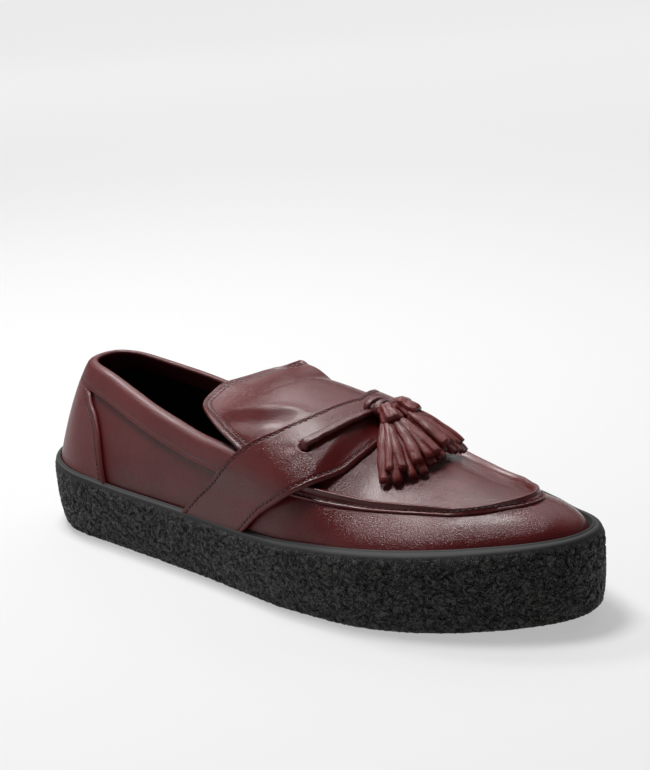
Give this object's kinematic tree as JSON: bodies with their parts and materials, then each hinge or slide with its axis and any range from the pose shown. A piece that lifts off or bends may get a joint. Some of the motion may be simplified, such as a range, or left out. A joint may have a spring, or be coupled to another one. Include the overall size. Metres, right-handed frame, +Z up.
{
  "type": "tassel loafer",
  "caption": "Low slip-on leather loafer for the right foot, with a saddle strap, tasselled lace, raised apron seam and a thick flat rubber cup sole.",
  "frame": {"origin": "middle of the shoe's length and width, on the floor it stands on", "axes": "+X towards the toe, +Y towards the inner side of the foot, +Z up"},
  "size_m": [0.3, 0.1076, 0.0801],
  "materials": {
    "sole_rubber": "matt black rubber with a crinkled crepe side",
    "upper_leather": "polished dark red leather",
    "sock_leather": "dull dark brown leather",
    "tongue_leather": "polished dark red leather",
    "strap_leather": "polished dark red leather",
    "collar_leather": "satin dark red leather",
    "counter_leather": "satin dark red leather",
    "seam_leather": "polished dark red leather",
    "lace_leather": "waxed dark red leather cord",
    "tassel_leather": "polished dark red leather strips"
  },
  "bodies": {
    "root": {"cup_sole": "sole_rubber", "upper": "upper_leather", "insole": "sock_leather", "tongue": "tongue_leather", "saddle_strap": "strap_leather", "collar_band": "collar_leather", "heel_counter": "counter_leather", "apron_seam": "seam_leather", "lace": "lace_leather", "tassel_lateral": "tassel_leather", "tassel_medial": "tassel_leather"}
  },
  "joints": []
}
